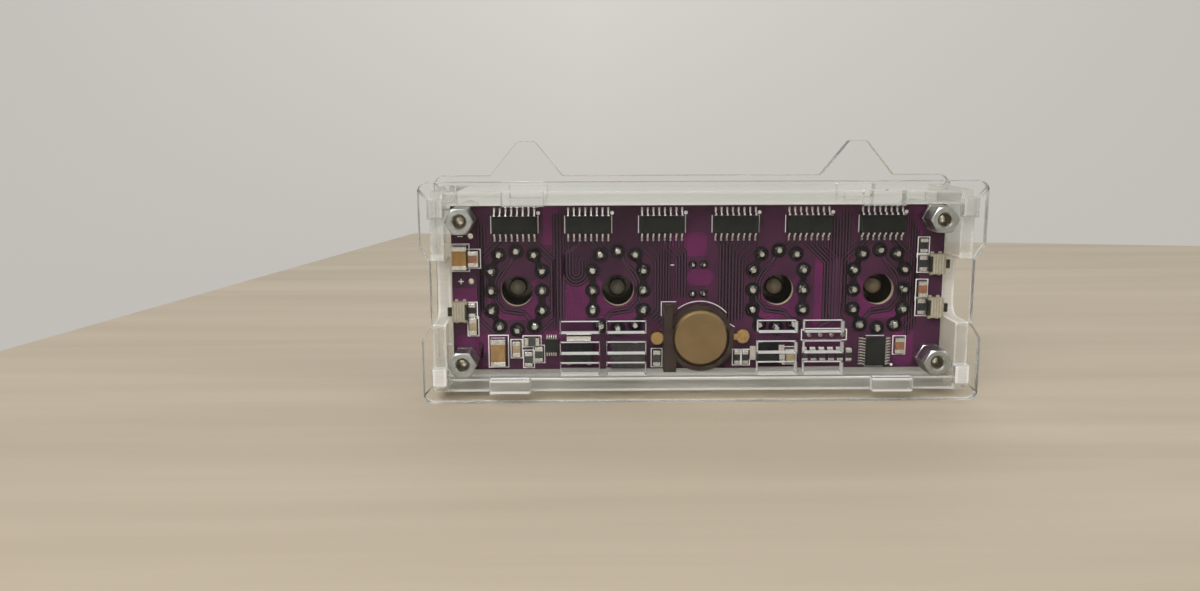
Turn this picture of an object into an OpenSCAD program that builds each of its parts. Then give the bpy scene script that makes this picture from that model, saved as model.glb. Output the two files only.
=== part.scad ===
// Nixie tube clock with four tubes on one circuit board, in a clear laser-cut case.
// It lies here upside down, on the long straight edges of its two panels, with the two feet
// of the front panel pointing up. X runs along the panels, +Y points from the back panel to
// the digits, and +Z is up. The origin is the middle of the footprint, on the table.

/* [Display tubes] */
// Width of one tube's glass
tube_w = 21; // [21:0.5:28]
// Height of one tube's glass
tube_h = 31; // [31:0.5:42]
// Length of the glass from its base to its flat face
tube_l = 19.5; // [16:0.5:34]
// How far the pins hold the glass off the board
tube_lift = 4.5; // [0:0.1:10]
// Thickness of the glass wall and of the flat face
glass_t = 1; // [0.8:0.1:2]
// Thickness of the pressed glass base
base_t = 2.5; // [2:0.5:4]
// Gap between the two tubes of a pair
pair_gap = 1.65; // [1:0.05:6]
// Gap between the two pairs of tubes, where the colon lamps stand
colon_gap = 14.9; // [12:0.1:24]
// How far the tubes sit below the middle of the board
tube_drop = 0.5; // [0:0.1:2]
// Diameter of a contact pin
pin_d = 1; // [0.6:0.1:1.1]
// Height of a digit
digit_h = 18; // [14:0.5:20]
// Width of the wire that a digit is cut from
stroke = 0.5; // [0.4:0.1:0.8]

/* [Circuit board] */
// Board left beside the outer tubes at each end
board_end = 3.9; // [3.9:0.1:15]
// Board left above and below the tubes
board_edge = 3; // [3:0.1:12]
// Thickness of the board
board_t = 1.6; // [1:0.2:3.2]
// Distance of the fixing holes from the board's edges
hole_inset = 2.75; // [2.75:0.05:4]

/* [Case] */
// Thickness of every clear plate
panel_t = 3; // [2:0.1:5]
// How far the front and back panels stand out past the other four plates
panel_lip = 2.1; // [1.5:0.1:5]
// Corner radius of the panels
panel_r = 2; // [0.5:0.5:5]
// Play between the board's ends and the side plates
side_clear = 0.5; // [0.5:0.1:3]
// Play between the board and the top and bottom plates, with the board in the middle
level_clear = 0.4; // [0.3:0.1:3]
// How far the board sits below the middle of the case
board_drop = 0.3; // [0:0.1:0.3]
// Space between the back panel and the board
rear_gap = 8; // [6.5:0.1:16]
// Space between the board and the front panel
front_gap = 12.4; // [12:0.1:16]
// Width of the tabs on the top and bottom plates
tab_w = 8.6; // [5:0.1:12]
// Height of the tabs on the side plates
side_tab_h = 3.8; // [2:0.1:5]
// Play all round a tab in its slot
tab_clear = 0.1; // [0.05:0.05:0.3]
// Play all round the tubes in the front panel
opening_clear = 0.4; // [0.2:0.1:1]

/* [Feet and openings] */
// Height of a foot above the panel's edge
foot_h = 8; // [4:0.5:20]
// Width of a foot where it leaves the panel
foot_base = 17.2; // [8:0.2:26]
// Width of a foot at its tip
foot_tip = 4; // [2:0.5:8]
// Distance of a foot's middle from the panel's end
foot_in = 21.6; // [15:0.2:30]
// Height of the finger windows in the side plates
window_h = 14; // [13.5:0.5:18]
// Length of a vent slot
vent_w = 8.4; // [4:0.2:9]
// Height of a vent slot
vent_h = 2.5; // [1.5:0.1:3.5]

/* [Buttons] */
// Width of a switch body, from its front to its back
switch_w = 3.4; // [3:0.1:3.4]
// Length of a switch body along the board's edge
switch_l = 4.5; // [4:0.1:6]
// Height of a switch body above the board
switch_h = 1.8; // [1.6:0.1:3]
// Distance between the two buttons on the right
button_pitch = 9.9; // [7:0.1:9.9]
// Length of a plunger along the board's edge
plunger_l = 1.9; // [1.4:0.1:2.4]
// Thickness of a plunger
plunger_h = 1.1; // [0.8:0.1:1.2]
// How far a plunger stands out of its switch
plunger_out = 1; // [0.6:0.1:1.6]
// Travel of a plunger
travel = 0.25; // [0.1:0.05:0.4]

/* [Fasteners] */
// Diameter of the threads
thread_d = 3; // [2:0.1:3.2]
// Width across the flats of the nuts and standoffs
hex_af = 5.5; // [4.5:0.1:5.5]
// Thickness of a nut
nut_t = 2.4; // [1.6:0.1:3]

/* [Coin cell] */
// Diameter of the cell
cell_d = 12.5; // [10:0.1:12.5]
// Thickness of the cell
cell_t = 2; // [1.2:0.1:2.5]

/* [Hidden] */
$fn = 48;
TUBES = [1, 2, 3, 4];
DRIVERS = [1, 2, 3, 4, 5, 6];

// The board and the case that closes round it
board_w = colon_gap + 4 * tube_w + 2 * pair_gap + 2 * board_end;
board_h = tube_h + 2 * board_edge;
inner_w = board_w + 2 * side_clear;
inner_h = board_h + 2 * level_clear;
inner_depth = rear_gap + board_t + front_gap;
case_w = inner_w + 2 * panel_t;
case_h = inner_h + 2 * panel_t;
panel_w = case_w + 2 * panel_lip;
panel_h = case_h + 2 * panel_lip;

// Planes along Y, from the back panel's outer face to the tubes' faces
depth = panel_t + rear_gap + board_t + tube_lift + tube_l;
y_back = -depth / 2;
y_inside = y_back + panel_t;
y_rear = y_inside + rear_gap;
y_front = y_rear + board_t;
y_panel = y_front + front_gap;
z_case = panel_h / 2;
z_mid = z_case - board_drop;

// Tabs: how far their middles lie from the inner end of their plate
top_tab_in = 17;
bottom_tab_in = 13.7;
side_tab_in = 3.6;

// Finger windows, centred on the two buttons on the right
button_mid = 0.35;
window_past = 0.4;
window_r = 3;
notch_slope = 3.2;
set_z = -5;

// Vent slots: two groups of two columns and three rows
vent_group_x = 21.45;
vent_pitch_x = 10.1;
vent_pitch_z = 4.6;
vent_z = -12;

// Tube parts: 12 pins in an oval, and the stack of digits that they carry
pin_side = 5.66;
pin_step = 4.5;
pin_shoulder = [3.9, 8.1];
pin_end = 8.9;
pin_spots = concat(
    [for (s = [-1, 1], k = [-1, 0, 1]) [s * pin_side, k * pin_step]],
    [for (s = [-1, 1], t = [-1, 1]) [s * pin_shoulder.x, t * pin_shoulder.y]],
    [for (t = [-1, 1]) [0, t * pin_end]]
);
pin_clear = 0.02;
pin_past = 1.3;
stack_lift = 2;
shield_t = 0.6;
digit_t = 0.25;
digit_count = 10;
digit_r = (digit_h + stroke) / 4;
spacer_t = 1.2;
spacer_w = 7;
mesh_t = 0.4;
mesh_gap = 1;
mesh_wire = 0.25;
mesh_step = 2;
shield_side = 1.5;
tip_d = 4.2;
tip_l = 3.2;
tip_hole_d = 7;
shield_y = base_t + stack_lift;
mesh_y = tube_l - glass_t - mesh_gap - mesh_t;
spacer_l = mesh_y - shield_y - shield_t;
digit_step = spacer_l / (digit_count + 1);
spacer_z = digit_h / 2 + 1.2 + spacer_t / 2;

// Colon lamps
lamp_d = 4;
lamp_l = 9.5;
lamp_lift = 1.5;
lamp_wall = 0.4;
lamp_lead_d = 0.5;
lamp_lead_pitch = 2.5;
lamp_base_t = 1.5;
lamp_electrode_l = 5.5;
lamp_upper_z = 5.25;
lamp_lower_z = -1.35;
lamp_spots = [for (z = [lamp_upper_z, lamp_lower_z], s = [-1, 1]) [s * lamp_lead_pitch / 2, z]];

// Plain holes in the board
play = 0.1;
hole_d = thread_d + 2 * play;
pin_hole_d = pin_d + play;
lead_hole_d = lamp_lead_d + 2 * play;
supply_spots = [[4.25, 11.8], [4.25, 1.7]];
supply_hole_d = 1.3;
header_count = 4;
header_pitch = 2.54;
header_hole_d = 1;
header_in = 25.85;
header_up = 7.6;
solder_h = 0.9;
solder_r = 1.05;
solder_tip_r = 0.7;

// Fasteners
stud_past = 2;
screw_head_d = 5.6;
screw_head_t = 1.8;
screw_l = 5;
screw_socket_af = 2;
screw_socket_t = 1;
bore_d = thread_d + play;
stud_l = board_t + nut_t + stud_past;
standoff_bore_l = screw_l + 1;

// Chips with bent leads: [length along the leads, width, height, leads a side, pitch, span, lead width]
lead_t = 0.2;
chip_lift = 0.1;
driver_size = [9.9, 3.9, 1.5, 8, 1.27, 6, 0.42];
micro_size = [6.5, 4.4, 1, 10, 0.65, 6.4, 0.25];
boost_size = [3, 3, 0.9, 5, 0.5, 4.9, 0.22];
driver_end = 9.15;
driver_top = 4.15;
driver_pitch = (board_w - 2 * driver_end - driver_size[0]) / (len(DRIVERS) - 1);

// Coin cell holder
cell_x = 0.5;
cell_up = 7.4;
cell_play = 0.15;
holder_wall = 0.9;
holder_floor = 0.9;
holder_lip = 0.4;
holder_bar_w = 2.8;
holder_bar_out = 8.3;
holder_bar_h = 15;
holder_cut_up = 2.4;
contact_t = 0.3;
contact_w = 1.4;
contact_foot = [2.6, 3.2];
contact_out = 8.7;
pocket_r = cell_d / 2 + cell_play;
cell_edge = 0.5;

function tube_x(i) = (i <= 2 ? -1 : 1) * (colon_gap / 2 + tube_w / 2 + (i == 1 || i == 4 ? tube_w + pair_gap : 0));
function from_left(d) = -board_w / 2 + d;
function from_right(d) = board_w / 2 - d;
function from_bottom(d) = -board_h / 2 + d;
function driver_x(i) = (i - (len(DRIVERS) + 1) / 2) * driver_pitch;

header_x = from_right(header_in);
tube_spots = [for (i = TUBES, p = pin_spots) [tube_x(i) + p.x, p.y - tube_drop]];
supply_holes = [for (p = supply_spots) [from_left(p.x), p.y]];
header_holes = [
    for (k = [0:header_count - 1])
        [header_x + (k - (header_count - 1) / 2) * header_pitch, from_bottom(header_up)]
];
screw_spots = [
    for (s = [-1, 1], t = [-1, 1])
        [s * (board_w / 2 - hole_inset), t * (board_h / 2 - hole_inset)]
];

// Ceramic capacitors: [x, z, width, height, how high it stands]
capacitors = [
    [from_left(4.9), 6.8, 2.2, 3.4, 1.4],
    [from_left(4.5), -8.5, 1.6, 3.6, 1.1],
    [from_left(14.15), from_bottom(4.75), 1.7, 3.4, 1],
    [from_left(17.65), from_bottom(6.45), 3.2, 1.7, 1],
    [from_left(16.9), from_bottom(2.4), 1.6, 3.2, 1],
    [from_left(19.2), from_bottom(3.5), 1.7, 3.2, 1],
    [-9.2, from_bottom(2.5), 1.6, 3.4, 1],
    [21.1, from_bottom(2.6), 2, 3.2, 1.1],
    [from_right(9.15), from_bottom(5.1), 2, 3.4, 1],
    [from_right(4.6), -0.45, 1.8, 3.4, 1.1]
];

// Chip resistors: [x, z, width, height, how high it stands]
resistor_row = [for (k = [0:5]) [from_right(30.6 - 2 * k), from_bottom(2.9), 1.3, 2.4, 0.5]];
resistors = concat(
    [
        [from_left(4.3), -4.85, 1.5, 2.8, 0.5],
        [from_right(4.6), 9.35, 1.7, 2.9, 0.5],
        [from_right(4.6), 5.3, 1.7, 3.2, 0.5],
        [from_right(4.6), -4.55, 1.7, 3.3, 0.5],
        [9.05, from_bottom(2.5), 1.2, 2.8, 0.5],
        [10.9, from_bottom(2.5), 1.2, 2.8, 0.5]
    ],
    resistor_row
);

// ---- Places ----

// Turns a shape drawn flat so that it stands on the board's rear face, its height towards -Y
module on_rear(x = 0, z = 0) {
    translate([x, y_rear, z_mid + z]) rotate([90, 0, 0]) children();
}

// Turns a shape so that it stands on the board's front face, its height towards +Y. The
// shape's own up points at the table, because the clock lies upside down
module on_front(x = 0, z = 0) {
    translate([x, y_front, z_mid + z]) rotate([-90, 0, 0]) children();
}

// Extrudes an outline into a plate that faces the back, starting at y, centred on height z
module facing_plate(y, z, t) {
    translate([0, y + t, z]) rotate([90, 0, 0]) linear_extrude(t) children();
}

module hex(af) {
    circle(d = af / cos(30), $fn = 6);
}

module stadium(w, h) {
    square([w, h - w], center = true);
    for (s = [-1, 1]) translate([0, s * (h - w) / 2]) circle(d = w);
}

module rounded_rect(w, h, r) {
    square([w - 2 * r, h], center = true);
    square([w, h - 2 * r], center = true);
    for (s = [-1, 1], t = [-1, 1]) translate([s * (w / 2 - r), t * (h / 2 - r)]) circle(r = r);
}

// ---- Case ----

module tab_slots() {
    slot_w = tab_w + 2 * tab_clear;
    slot_t = panel_t + 2 * tab_clear;
    tab_z = (inner_h + panel_t) / 2;
    for (s = [-1, 1]) {
        translate([s * (inner_w / 2 - top_tab_in), tab_z]) square([slot_w, slot_t], center = true);
        translate([s * (inner_w / 2 - bottom_tab_in), -tab_z]) square([slot_w, slot_t], center = true);
        for (t = [-1, 1])
            translate([s * (inner_w + panel_t) / 2, t * (case_h / 2 - side_tab_in)])
                square([slot_t, side_tab_h + 2 * tab_clear], center = true);
    }
}

module finger_notches() {
    reach = window_h / 2 + notch_slope;
    for (s = [-1, 1])
        translate([s * panel_w / 2, button_mid - board_drop])
            scale([s, 1])
                polygon([
                    [1, -reach - 1], [0, -reach], [-panel_lip, -window_h / 2],
                    [-panel_lip, window_h / 2], [0, reach], [1, reach + 1]
                ]);
}

module vents() {
    for (g = [-1, 1], c = [-0.5, 0.5], r = [-1, 0, 1])
        translate([g * vent_group_x + c * vent_pitch_x, vent_z + r * vent_pitch_z])
            square([vent_w, vent_h], center = true);
}

module back_panel() {
    color([0.92, 0.95, 0.93, 0.3])
        facing_plate(y_back, z_case, panel_t)
            difference() {
                rounded_rect(panel_w, panel_h, panel_r);
                tab_slots();
                finger_notches();
                vents();
            }
}

module foot() {
    sunk = 1;
    flare = sunk * (foot_base - foot_tip) / (2 * foot_h);
    polygon([
        [-foot_base / 2 - flare, -sunk], [foot_base / 2 + flare, -sunk],
        [foot_tip / 2, foot_h], [-foot_tip / 2, foot_h]
    ]);
}

module tube_openings() {
    w = 2 * (tube_w + opening_clear) + pair_gap;
    h = tube_h + 2 * opening_clear;
    for (s = [-1, 1])
        translate([s * (colon_gap / 2 + tube_w + pair_gap / 2), -tube_drop - board_drop])
            rounded_rect(w, h, tube_w / 2 + opening_clear);
}

module front_panel() {
    color([0.92, 0.95, 0.93, 0.3])
        facing_plate(y_panel, z_case, panel_t)
            difference() {
                union() {
                    rounded_rect(panel_w, panel_h, panel_r);
                    for (s = [-1, 1]) translate([s * (panel_w / 2 - foot_in), panel_h / 2]) foot();
                }
                tab_slots();
                tube_openings();
                translate([0, -board_drop]) drill(screw_spots, hole_d);
            }
}

// A long plate between the panels, with two tabs through each of them
module long_plate(side, tab_in) {
    translate([0, y_inside, z_case + side * (inner_h + panel_t) / 2 - panel_t / 2]) {
        translate([-inner_w / 2, 0, 0]) cube([inner_w, inner_depth, panel_t]);
        for (s = [-1, 1])
            translate([s * (inner_w / 2 - tab_in) - tab_w / 2, -panel_t, 0])
                cube([tab_w, inner_depth + 2 * panel_t, panel_t]);
    }
}

module top_plate() {
    color([0.92, 0.95, 0.93, 0.3]) long_plate(1, top_tab_in);
}

module bottom_plate() {
    color([0.92, 0.95, 0.93, 0.3]) long_plate(-1, bottom_tab_in);
}

// The window runs from the plate's rear edge to just past the board, with round inner corners
module finger_window() {
    reach = rear_gap + board_t + window_past;
    through = panel_t + 2;
    rotate([0, 90, 0])
        linear_extrude(through, center = true) {
            translate([-window_h / 2, -1]) square([window_h, reach + 1 - window_r]);
            translate([-window_h / 2 + window_r, -1]) square([window_h - 2 * window_r, reach + 1]);
            for (s = [-1, 1]) translate([s * (window_h / 2 - window_r), reach - window_r]) circle(r = window_r);
        }
}

module side_plate(side) {
    x = side * (inner_w + panel_t) / 2;
    difference() {
        translate([x - panel_t / 2, y_inside, z_case]) {
            translate([0, 0, -case_h / 2]) cube([panel_t, inner_depth, case_h]);
            for (t = [-1, 1])
                translate([0, -panel_t, t * (case_h / 2 - side_tab_in) - side_tab_h / 2])
                    cube([panel_t, inner_depth + 2 * panel_t, side_tab_h]);
        }
        translate([x, y_inside, z_mid + button_mid]) finger_window();
    }
}

module left_plate() {
    color([0.92, 0.95, 0.93, 0.3]) side_plate(-1);
}

module right_plate() {
    color([0.92, 0.95, 0.93, 0.3]) side_plate(1);
}

// ---- Board ----

module drill(spots, d) {
    for (p = spots) translate(p) circle(d = d);
}

module circuit_board() {
    color([0.24, 0.08, 0.26])
        facing_plate(y_rear, z_mid, board_t)
            difference() {
                square([board_w, board_h], center = true);
                drill(screw_spots, hole_d);
                drill([for (i = TUBES) [tube_x(i), -tube_drop]], tip_hole_d);
                drill(tube_spots, pin_hole_d);
                drill(lamp_spots, lead_hole_d);
                drill(supply_holes, supply_hole_d);
                drill(header_holes, header_hole_d);
            }
}

module solder_joint(lead_d) {
    difference() {
        cylinder(h = solder_h, r1 = solder_r, r2 = solder_tip_r);
        translate([0, 0, -1]) cylinder(h = solder_h + 2, d = lead_d + 2 * pin_clear);
    }
}

module solder_joints() {
    color([0.75, 0.76, 0.76]) {
        for (p = tube_spots) on_rear(p.x, p.y) solder_joint(pin_d);
        for (p = lamp_spots) on_rear(p.x, p.y) solder_joint(lamp_lead_d);
    }
}

// ---- Tubes ----

module in_tube(i) {
    on_front(tube_x(i), -tube_drop) translate([0, 0, tube_lift]) children();
}

module tube_glass(i) {
    color([0.8, 0.82, 0.8, 0.3])
        in_tube(i)
            difference() {
                union() {
                    linear_extrude(tube_l) stadium(tube_w, tube_h);
                    translate([0, 0, tip_d / 2 - tip_l]) cylinder(h = tip_l, d = tip_d);
                    translate([0, 0, tip_d / 2 - tip_l]) sphere(d = tip_d);
                }
                translate([0, 0, base_t])
                    linear_extrude(tube_l - base_t - glass_t)
                        stadium(tube_w - 2 * glass_t, tube_h - 2 * glass_t);
                for (p = pin_spots)
                    translate([p.x, p.y, -1]) cylinder(h = base_t + 2, d = pin_d + 2 * pin_clear);
            }
}

module tube_pins(i) {
    below = tube_lift + board_t + pin_past;
    color([0.7, 0.7, 0.68])
        in_tube(i)
            for (p = pin_spots) translate([p.x, p.y, -below]) cylinder(h = below + shield_y, d = pin_d);
}

// A straight stroke of a digit between two points
module bar(a, b) {
    d = b - a;
    translate(a) rotate(atan2(d.y, d.x)) translate([-stroke / 2, -stroke / 2]) square([norm(d) + stroke, stroke]);
}

// A round stroke about a point
module ring(z, r) {
    translate([0, z])
        difference() {
            circle(r = r);
            circle(r = r - stroke);
        }
}

// The strokes of one digit, digit_h tall and centred. Two stacked rings share one stroke
module digit(n) {
    w = digit_r - stroke / 2;
    h = (digit_h - stroke) / 2;
    up = digit_h / 2 - digit_r;
    gap = 1.5 * digit_r;
    if (n == 0) {
        difference() {
            stadium(2 * digit_r, digit_h);
            stadium(2 * w - stroke, digit_h - 2 * stroke);
        }
    } else if (n == 1) {
        bar([0, -h], [0, h]);
    } else if (n == 2) {
        difference() {
            ring(up, digit_r);
            translate([-digit_r - 1, up - digit_r - 1]) square([2 * digit_r + 2, digit_r + 1]);
        }
        bar([w, up], [-w, -h]);
        bar([-w, -h], [w, -h]);
    } else if (n == 3) {
        for (s = [-1, 1])
            difference() {
                ring(s * up, digit_r);
                translate([-gap, s * up - digit_r / 2]) square([gap, digit_r]);
            }
    } else if (n == 4) {
        bar([w / 2, h], [-w, -h / 3]);
        bar([-w, -h / 3], [w, -h / 3]);
        bar([w / 2, -h], [w / 2, h]);
    } else if (n == 5) {
        bar([-w, h], [w, h]);
        bar([-w, h], [-w, 0]);
        difference() {
            ring(-up, digit_r);
            translate([-gap, -up - digit_r / 2]) square([gap, digit_r]);
        }
        bar([-w, 0], [0, 0]);
    } else if (n == 6) {
        ring(-up, digit_r);
        bar([-w, -up], [w / 2, h]);
    } else if (n == 7) {
        bar([-w, h], [w, h]);
        bar([w, h], [-w / 2, -h]);
    } else if (n == 8) {
        for (s = [-1, 1]) ring(s * up, digit_r);
    } else {
        ring(up, digit_r);
        bar([w, up], [-w / 2, -h]);
    }
}

// Where a digit's wire meets the spacers: [x at its foot, x at its top]
function lug_x(n) =
    let (w = digit_r - stroke / 2)
    n == 4 ? [w / 2, w / 2] : n == 6 ? [0, w / 2] : n == 7 || n == 9 ? [-w / 2, 0] : [0, 0];

module cathode_stack(i) {
    color([0.62, 0.6, 0.56])
        in_tube(i)
            translate([0, 0, shield_y]) {
                linear_extrude(shield_t)
                    stadium(tube_w - 2 * (glass_t + shield_side), tube_h - 2 * (glass_t + shield_side));
                for (s = [-1, 1])
                    translate([-spacer_w / 2, s * spacer_z - spacer_t / 2, shield_t / 2])
                        cube([spacer_w, spacer_t, spacer_l + shield_t / 2]);
                for (n = [0:digit_count - 1])
                    translate([0, 0, shield_t + (n + 1) * digit_step - digit_t / 2])
                        linear_extrude(digit_t) {
                            digit(n);
                            bar([lug_x(n)[0], -digit_h / 2 + stroke], [lug_x(n)[0], -spacer_z]);
                            bar([lug_x(n)[1], digit_h / 2 - stroke], [lug_x(n)[1], spacer_z]);
                        }
            }
}

module anode_mesh(i) {
    w = tube_w - 2 * (glass_t + shield_side);
    h = tube_h - 2 * (glass_t + shield_side);
    columns = floor(w / mesh_step / 2) - 1;
    rows = floor(h / mesh_step / 2);
    color([0.55, 0.55, 0.55])
        in_tube(i)
            translate([0, 0, mesh_y])
                linear_extrude(mesh_t) {
                    difference() {
                        stadium(w, h);
                        stadium(w - 2, h - 2);
                    }
                    intersection() {
                        stadium(w - 1, h - 1);
                        union() {
                            for (k = [-columns:columns])
                                translate([k * mesh_step, 0]) square([mesh_wire, h], center = true);
                            for (k = [-rows:rows])
                                translate([0, k * mesh_step]) square([w, mesh_wire], center = true);
                        }
                    }
                }
}

// ---- Colon lamps ----

module colon_lamp(z) {
    r = lamp_d / 2;
    color([0.85, 0.84, 0.8, 0.35])
        on_front(0, z)
            translate([0, 0, lamp_lift])
                difference() {
                    union() {
                        cylinder(h = lamp_l - r, r = r);
                        translate([0, 0, lamp_l - r]) sphere(r = r);
                    }
                    translate([0, 0, lamp_base_t]) {
                        cylinder(h = lamp_l - r - lamp_base_t, r = r - lamp_wall);
                        translate([0, 0, lamp_l - r - lamp_base_t]) sphere(r = r - lamp_wall);
                    }
                    for (s = [-1, 1])
                        translate([s * lamp_lead_pitch / 2, 0, -1])
                            cylinder(h = lamp_base_t + 2, d = lamp_lead_d + 2 * pin_clear);
                }
}

module colon_lamp_leads() {
    below = board_t + pin_past;
    above = lamp_lift + lamp_base_t + lamp_electrode_l;
    color([0.7, 0.7, 0.68])
        for (p = lamp_spots)
            on_front(p.x, p.y) translate([0, 0, -below]) cylinder(h = below + above, d = lamp_lead_d);
}

// ---- Electronics on the rear face ----

module bent_lead(size) {
    inside = size[1] / 2 - 0.3;
    foot_in = size[1] / 2 + (size[5] - size[1]) / 6;
    tip = size[5] / 2;
    mid = chip_lift + size[2] / 2;
    rotate([90, 0, 90])
        linear_extrude(size[6], center = true)
            polygon([
                [inside, mid], [foot_in, mid], [foot_in, 0], [tip, 0], [tip, lead_t],
                [foot_in + lead_t, lead_t], [foot_in + lead_t, mid + lead_t], [inside, mid + lead_t]
            ]);
}

// A chip whose two rows of leads run along X
module chip(size) {
    translate([-size[0] / 2, -size[1] / 2, chip_lift]) cube([size[0], size[1], size[2]]);
    for (k = [0:size[3] - 1], side = [0, 180])
        rotate(side) translate([(k - (size[3] - 1) / 2) * size[4], 0, 0]) bent_lead(size);
}

module driver_ic(i) {
    color([0.13, 0.13, 0.14]) on_rear(driver_x(i), board_h / 2 - driver_top) chip(driver_size);
}

module microcontroller() {
    color([0.13, 0.13, 0.14]) on_rear(from_right(14.7), from_bottom(3.8)) rotate(90) chip(micro_size);
}

module boost_controller() {
    color([0.13, 0.13, 0.14]) on_rear(from_left(22.05), from_bottom(5.55)) chip(boost_size);
}

// A block on the board: centred on x and z, w wide, h tall and t high
module block(w, h, t, lift = 0) {
    translate([-w / 2, -h / 2, lift]) cube([w, h, t]);
}

// Body with a metal tab above it and two flat leads below
module power_transistor() {
    color([0.14, 0.14, 0.15])
        on_rear(from_left(28.2), from_bottom(4.2)) {
            block(6.4, 4.6, 2.3);
            translate([0, 2.6]) block(5.4, 1.6, 0.5);
            for (s = [-1, 1]) translate([s * 2.3, -2.7]) block(0.8, 1.4, 0.5);
        }
}

module power_inductor() {
    core = [7.6, 6.2, 3.2];
    color([0.18, 0.17, 0.17])
        on_rear(-15.8, from_bottom(3.6))
            difference() {
                block(core.x, core.y, core.z);
                for (s = [-1, 1]) translate([s * core.x / 2, 0]) block(1, 2.4, core.z - 0.6, -0.1);
            }
}

module rectifier_diode() {
    color([0.15, 0.15, 0.15])
        on_rear(15.8, from_bottom(3.7)) {
            block(5, 4.8, 2.2);
            for (s = [-1, 1]) translate([s * 3.2, 0]) block(1.6, 3.2, 1.1);
        }
}

module filter_capacitor() {
    color([0.78, 0.55, 0.16]) on_rear(from_left(1.85), 7.05) block(3.2, 5, 1.9);
}

module input_capacitor() {
    color([0.78, 0.62, 0.3]) on_rear(from_left(10.1), from_bottom(4.2)) block(3.2, 6, 2.5);
}

module ceramic_capacitors() {
    color([0.62, 0.47, 0.3]) for (c = capacitors) on_rear(c[0], c[1]) block(c[2], c[3], c[4]);
}

module chip_resistors() {
    color([0.16, 0.16, 0.17]) for (c = resistors) on_rear(c[0], c[1]) block(c[2], c[3], c[4]);
}

// ---- Coin cell ----

module at_cell() {
    on_rear(cell_x, from_bottom(cell_up)) children();
}

module cell_holder() {
    top = holder_floor + cell_t + holder_lip;
    color([0.2, 0.14, 0.16])
        at_cell()
            difference() {
                union() {
                    cylinder(h = top, r = pocket_r + holder_wall);
                    translate([-holder_bar_out, -holder_bar_h / 2, 0]) cube([holder_bar_w, holder_bar_h, top]);
                }
                translate([0, 0, holder_floor]) cylinder(h = top, r = pocket_r);
                translate([-pocket_r, holder_cut_up, holder_floor]) cube([3 * pocket_r, 2 * pocket_r, top]);
                contact_strips(play);
            }
}

// The strips of spring metal that run from the feet beside the holder to the cell's two poles
module contact_strips(spare = 0) {
    w = contact_w + 2 * spare;
    t = contact_t + 2 * spare;
    rim = cell_d / 2 + contact_t;
    translate([-contact_out, -w / 2, holder_floor + cell_t / 2 - t / 2]) cube([contact_out - rim + spare, w, t]);
    translate([0, -w / 2, holder_floor - contact_t - spare]) cube([contact_out, w, t]);
}

module cell_contacts() {
    rise = holder_floor + cell_t / 2 + contact_t / 2;
    color([0.82, 0.66, 0.36])
        at_cell() {
            contact_strips();
            for (s = [-1, 1])
                translate([s * (contact_out + contact_foot.x / 2), 0]) block(contact_foot.x, contact_foot.y, contact_t);
            translate([-contact_out - contact_t, -contact_w / 2, 0]) cube([contact_t, contact_w, rise]);
            translate([contact_out, -contact_w / 2, 0]) cube([contact_t, contact_w, holder_floor]);
        }
}

module coin_cell() {
    r = cell_d / 2;
    color([0.66, 0.54, 0.36])
        at_cell()
            translate([0, 0, holder_floor])
                rotate_extrude()
                    polygon([[0, 0], [r, 0], [r, cell_t - cell_edge], [r - cell_edge, cell_t], [0, cell_t]]);
}

// ---- Buttons ----

// A switch at the board's edge, drawn for the right-hand end: the front faces +X
flange_l = plunger_l + 0.8;
flange_t = 0.5;
front_t = 0.6;
slack = 0.05;
plunger_mid = switch_h / 2;

module at_switch(side, z) {
    translate([side * board_w / 2, y_rear, z_mid + z]) rotate([90, 0, 0]) rotate(side > 0 ? 0 : 180) children();
}

module switch_body() {
    slot_h = plunger_h + 2 * slack;
    chamber = flange_t + travel + 2 * slack;
    difference() {
        translate([-switch_w, -switch_l / 2, 0]) cube([switch_w, switch_l, switch_h]);
        translate([-front_t - 1, -plunger_l / 2 - slack, plunger_mid - slot_h / 2])
            cube([front_t + 2, plunger_l + 2 * slack, slot_h]);
        translate([-front_t - chamber, -flange_l / 2 - slack, plunger_mid - slot_h / 2])
            cube([chamber, flange_l + 2 * slack, slot_h]);
    }
}

module plunger() {
    behind = front_t + slack;
    translate([-behind, -plunger_l / 2, plunger_mid - plunger_h / 2])
        cube([behind + plunger_out, plunger_l, plunger_h]);
    translate([-behind - flange_t, -flange_l / 2, plunger_mid - plunger_h / 2])
        cube([flange_t, flange_l, plunger_h]);
}

module set_switch() {
    color([0.78, 0.74, 0.62]) at_switch(-1, set_z) switch_body();
}

module up_switch() {
    color([0.78, 0.74, 0.62]) at_switch(1, button_mid - button_pitch / 2) switch_body();
}

module down_switch() {
    color([0.78, 0.74, 0.62]) at_switch(1, button_mid + button_pitch / 2) switch_body();
}

module set_button() {
    color([0.16, 0.17, 0.1]) at_switch(-1, set_z) plunger();
}

module up_button() {
    color([0.16, 0.17, 0.1]) at_switch(1, button_mid - button_pitch / 2) plunger();
}

module down_button() {
    color([0.16, 0.17, 0.1]) at_switch(1, button_mid + button_pitch / 2) plunger();
}

// ---- Fasteners ----

module board_nuts() {
    color([0.72, 0.73, 0.73])
        for (p = screw_spots)
            on_rear(p.x, p.y)
                difference() {
                    linear_extrude(nut_t) hex(hex_af);
                    translate([0, 0, -1]) cylinder(h = nut_t + 2, d = bore_d);
                }
}

module rear_standoffs() {
    l = rear_gap - nut_t;
    color([0.72, 0.73, 0.73])
        for (p = screw_spots)
            on_rear(p.x, p.y)
                translate([0, 0, nut_t])
                    difference() {
                        linear_extrude(l) hex(hex_af);
                        translate([0, 0, -1]) cylinder(h = l + 2, d = bore_d);
                    }
}

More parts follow.
